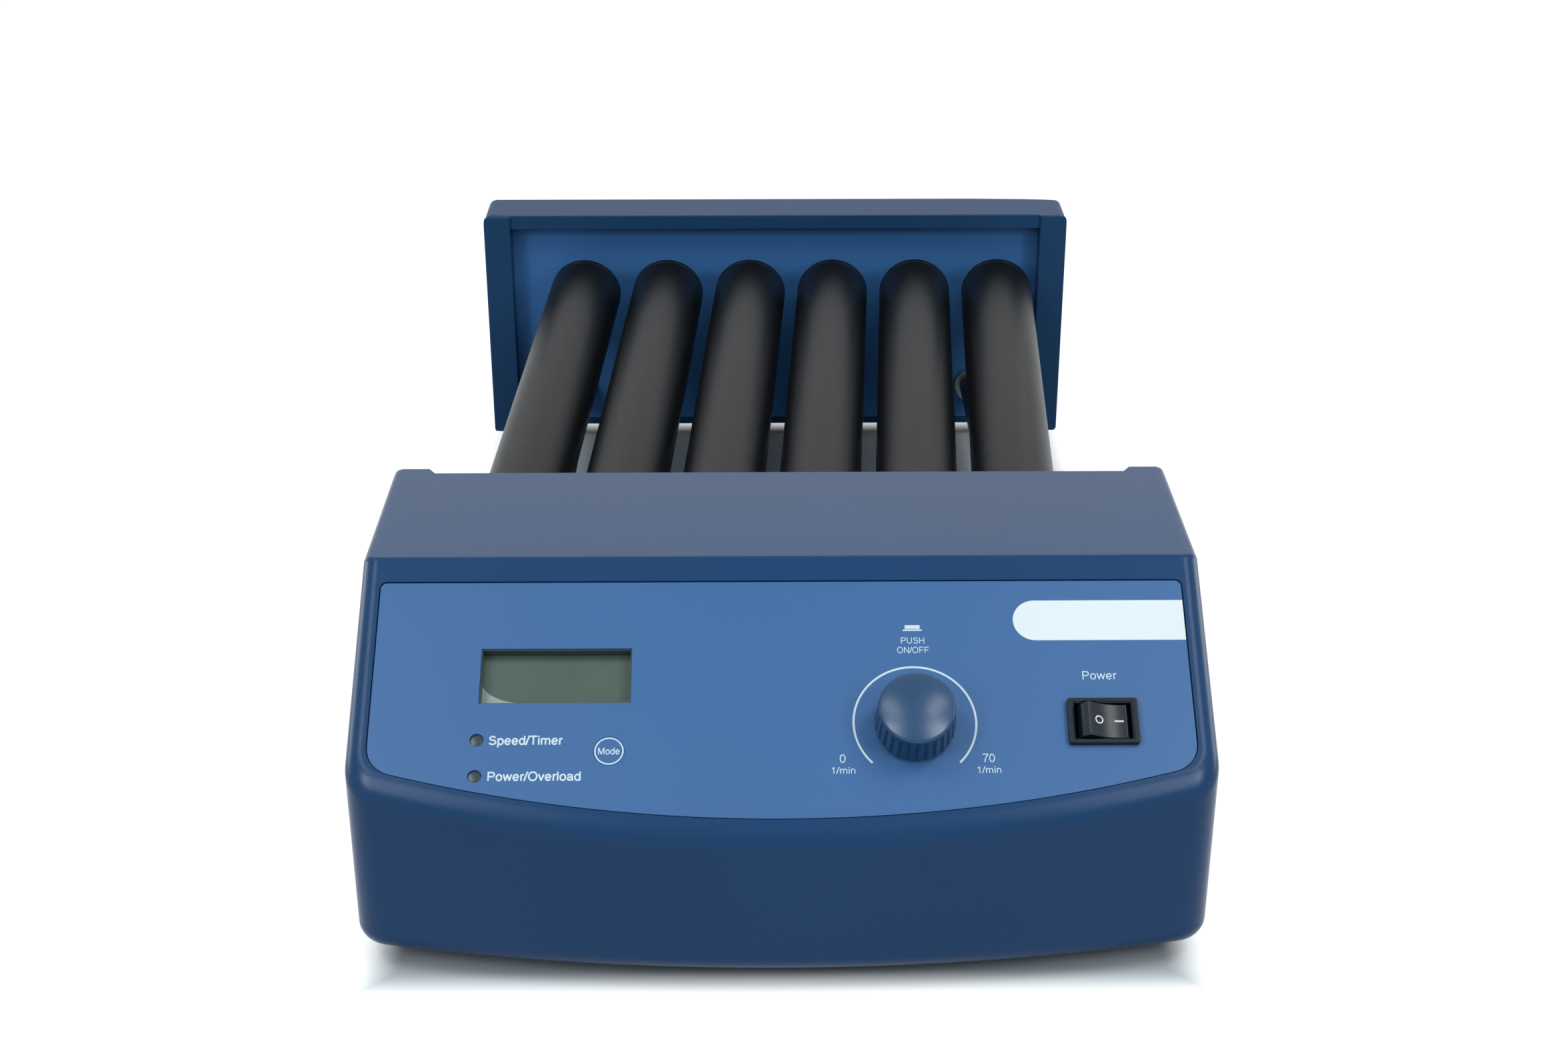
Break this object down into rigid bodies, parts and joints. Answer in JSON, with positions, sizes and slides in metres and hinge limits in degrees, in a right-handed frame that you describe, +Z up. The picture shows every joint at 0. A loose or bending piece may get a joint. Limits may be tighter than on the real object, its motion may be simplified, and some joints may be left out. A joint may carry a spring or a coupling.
{
  "type": "laboratory roller mixer",
  "caption": "Bench mixer with a row of slanted rollers between two casings, a sloping control face with speed knob, rocker switch and display.",
  "frame": {"origin": "on the bench plane under the middle of the object", "axes": "+X to the right as one faces the controls, +Y from the control face to the rear casing, along the rollers, +Z up"},
  "size_m": [0.268, 0.4619, 0.1135],
  "materials": {
    "housing_blue": "satin, fine",
    "panel_blue": "satin",
    "overlay_blue": "satin foil",
    "roller_rubber": "satin",
    "roller_core": "satin",
    "switch_black": "satin",
    "display_glass": "polished",
    "lamp_lens": "polished",
    "foot_rubber": "matte",
    "gear_nylon": "satin",
    "bearing_plastic": "satin",
    "steel": "satin",
    "rod_steel": "dark satin",
    "zinc_plate": "zinc plated",
    "board_green": "circuit board",
    "contact_brass": "bright"
  },
  "bodies": {
    "root": {"control_board": "board_green", "control_overlay": "overlay_blue", "display_frame": "bearing_plastic", "display_glass": "display_glass", "foot_front_left": "foot_rubber", "foot_front_right": "foot_rubber", "foot_rear_left": "foot_rubber", "foot_rear_right": "foot_rubber", "front_base": "housing_blue", "front_bearing_bar": "bearing_plastic", "front_housing": "housing_blue", "front_panel": "panel_blue", "gear_motor": "steel", "gear_plate": "zinc_plate", "inlet_contacts": "contact_brass", "power_inlet": "switch_black", "power_lamp": "lamp_lens", "power_supply": "board_green", "rear_base": "housing_blue", "rear_bearing_bar": "bearing_plastic", "rear_housing": "housing_blue", "rear_panel": "panel_blue", "rocker_frame": "switch_black", "rod_washer_front_left": "steel", "rod_washer_front_right": "steel", "rod_washer_rear_left": "steel", "rod_washer_rear_right": "steel", "speed_encoder": "zinc_plate", "speed_lamp": "lamp_lens", "tie_rod_left": "rod_steel", "tie_rod_right": "rod_steel"},
    "roller_1": {"roller_sleeve_1": "roller_rubber", "roller_core_1": "roller_core", "roller_gear_1": "gear_nylon"},
    "roller_2": {"roller_sleeve_2": "roller_rubber", "roller_core_2": "roller_core", "roller_gear_2": "gear_nylon"},
    "roller_3": {"roller_sleeve_3": "roller_rubber", "roller_core_3": "roller_core", "roller_gear_3": "gear_nylon"},
    "roller_4": {"roller_sleeve_4": "roller_rubber", "roller_core_4": "roller_core", "roller_gear_4": "gear_nylon"},
    "roller_5": {"roller_sleeve_5": "roller_rubber", "roller_core_5": "roller_core", "roller_gear_5": "gear_nylon"},
    "roller_6": {"roller_sleeve_6": "roller_rubber", "roller_core_6": "roller_core", "roller_gear_6": "gear_nylon"},
    "idler_1": {"idler_gear_1": "gear_nylon"},
    "idler_2": {"idler_gear_2": "gear_nylon"},
    "idler_3": {"idler_gear_3": "gear_nylon"},
    "idler_4": {"idler_gear_4": "gear_nylon"},
    "idler_5": {"idler_gear_5": "gear_nylon"},
    "motor_pinion": {"motor_pinion": "gear_nylon"},
    "knob_plunger": {"encoder_plunger": "bearing_plastic"},
    "speed_knob": {"speed_knob": "housing_blue", "encoder_shaft": "steel"},
    "rocker_paddle": {"rocker_paddle": "switch_black"},
    "mode_button": {"mode_button": "overlay_blue"}
  },
  "joints": [
    {"name": "roller_1_spin", "type": "hinge", "parent": "root", "child": "roller_1", "pos_m": [-0.095, 0.0605, 0.0684], "axis": [0, 1, 0], "continuous": true},
    {"name": "roller_2_spin", "type": "hinge", "parent": "root", "child": "roller_2", "pos_m": [-0.057, 0.0605, 0.0684], "axis": [0, 1, 0], "continuous": true},
    {"name": "roller_3_spin", "type": "hinge", "parent": "root", "child": "roller_3", "pos_m": [-0.019, 0.0605, 0.0684], "axis": [0, 1, 0], "continuous": true},
    {"name": "roller_4_spin", "type": "hinge", "parent": "root", "child": "roller_4", "pos_m": [0.019, 0.0605, 0.0684], "axis": [0, 1, 0], "continuous": true},
    {"name": "roller_5_spin", "type": "hinge", "parent": "root", "child": "roller_5", "pos_m": [0.057, 0.0605, 0.0684], "axis": [0, 1, 0], "continuous": true},
    {"name": "roller_6_spin", "type": "hinge", "parent": "root", "child": "roller_6", "pos_m": [0.095, 0.0605, 0.0684], "axis": [0, 1, 0], "continuous": true},
    {"name": "idler_1_spin", "type": "hinge", "parent": "root", "child": "idler_1", "pos_m": [-0.076, -0.1081, 0.0684], "axis": [0, 1, 0], "continuous": true},
    {"name": "idler_2_spin", "type": "hinge", "parent": "root", "child": "idler_2", "pos_m": [-0.038, -0.1081, 0.0684], "axis": [0, 1, 0], "continuous": true},
    {"name": "idler_3_spin", "type": "hinge", "parent": "root", "child": "idler_3", "pos_m": [0, -0.1081, 0.0684], "axis": [0, 1, 0], "continuous": true},
    {"name": "idler_4_spin", "type": "hinge", "parent": "root", "child": "idler_4", "pos_m": [0.038, -0.1081, 0.0684], "axis": [0, 1, 0], "continuous": true},
    {"name": "idler_5_spin", "type": "hinge", "parent": "root", "child": "idler_5", "pos_m": [0.076, -0.1081, 0.0684], "axis": [0, 1, 0], "continuous": true},
    {"name": "pinion_spin", "type": "hinge", "parent": "root", "child": "motor_pinion", "pos_m": [0, -0.1081, 0.0544], "axis": [0, 1, 0], "continuous": true},
    {"name": "knob_push", "type": "slide", "parent": "root", "child": "knob_plunger", "axis": [0, 0.5821, -0.8131], "range_m": [0, 0.001], "stiffness_N_per_m": 600, "springref_m": -0.003},
    {"name": "knob_turn", "type": "hinge", "parent": "knob_plunger", "child": "speed_knob", "pos_m": [0.0407, -0.20131, 0.07927], "axis": [0, 0.5821, -0.8131], "range_deg": [0, 270]},
    {"name": "rocker_tilt", "type": "hinge", "parent": "root", "child": "rocker_paddle", "pos_m": [0.0986, -0.19878, 0.07677], "axis": [0, -0.8131, -0.5821], "range_deg": [0, 28]},
    {"name": "mode_push", "type": "slide", "parent": "root", "child": "mode_button", "axis": [0, 0.5821, -0.8131], "range_m": [0, 0.0005], "stiffness_N_per_m": 800, "springref_m": -0.002}
  ],
  "couplings": [
    {"joint": "roller_2_spin", "follows": "roller_1_spin", "ratio": 1},
    {"joint": "roller_3_spin", "follows": "roller_1_spin", "ratio": 1},
    {"joint": "roller_4_spin", "follows": "roller_1_spin", "ratio": 1},
    {"joint": "roller_5_spin", "follows": "roller_1_spin", "ratio": 1},
    {"joint": "roller_6_spin", "follows": "roller_1_spin", "ratio": 1},
    {"joint": "idler_1_spin", "follows": "roller_1_spin", "ratio": -1.375},
    {"joint": "idler_2_spin", "follows": "roller_1_spin", "ratio": -1.375},
    {"joint": "idler_3_spin", "follows": "roller_1_spin", "ratio": -1.375},
    {"joint": "idler_4_spin", "follows": "roller_1_spin", "ratio": -1.375},
    {"joint": "idler_5_spin", "follows": "roller_1_spin", "ratio": -1.375},
    {"joint": "pinion_spin", "follows": "roller_1_spin", "ratio": 1.8333}
  ]
}
